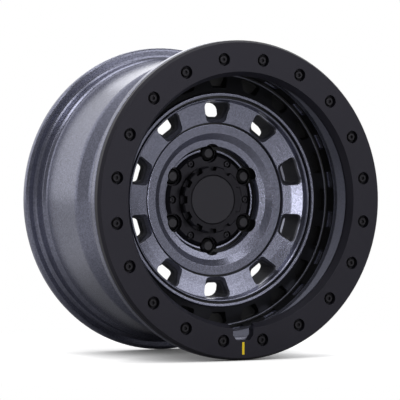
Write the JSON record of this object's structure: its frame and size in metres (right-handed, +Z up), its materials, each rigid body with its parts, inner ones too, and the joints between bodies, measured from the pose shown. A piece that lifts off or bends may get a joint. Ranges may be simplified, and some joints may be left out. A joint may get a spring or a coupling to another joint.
{
  "type": "car wheel",
  "caption": "Off-road alloy car wheel with a bolted bead ring, a windowed drum face, a hub cover and a screw-on centre cap.",
  "frame": {"origin": "middle of the wheel's width on its spin axis", "axes": "the wheel spins about Y, its outer side faces -Y, and +Z is up with the ring's notch at the bottom"},
  "size_m": [0.4712, 0.2726, 0.4712],
  "materials": {
    "cast_gunmetal": "satin metallic gunmetal paint",
    "ring_black": "satin black",
    "screw_black": "black steel",
    "washer_black": "black steel",
    "index_yellow": "yellow paint",
    "cover_black": "satin black",
    "cover_screw_black": "black steel",
    "cap_black": "satin black",
    "disc_black": "satin black",
    "seal_rubber": "rubber",
    "nut_black": "black steel"
  },
  "bodies": {
    "root": {"wheel_casting": "cast_gunmetal", "beadlock_ring": "ring_black", "ring_bolts": "screw_black", "ring_washers": "washer_black", "index_mark": "index_yellow", "hub_cover": "cover_black", "cover_screws": "cover_screw_black", "center_cap": "cap_black", "cap_disc": "disc_black", "cap_seal": "seal_rubber", "lug_nuts": "nut_black"}
  },
  "joints": []
}
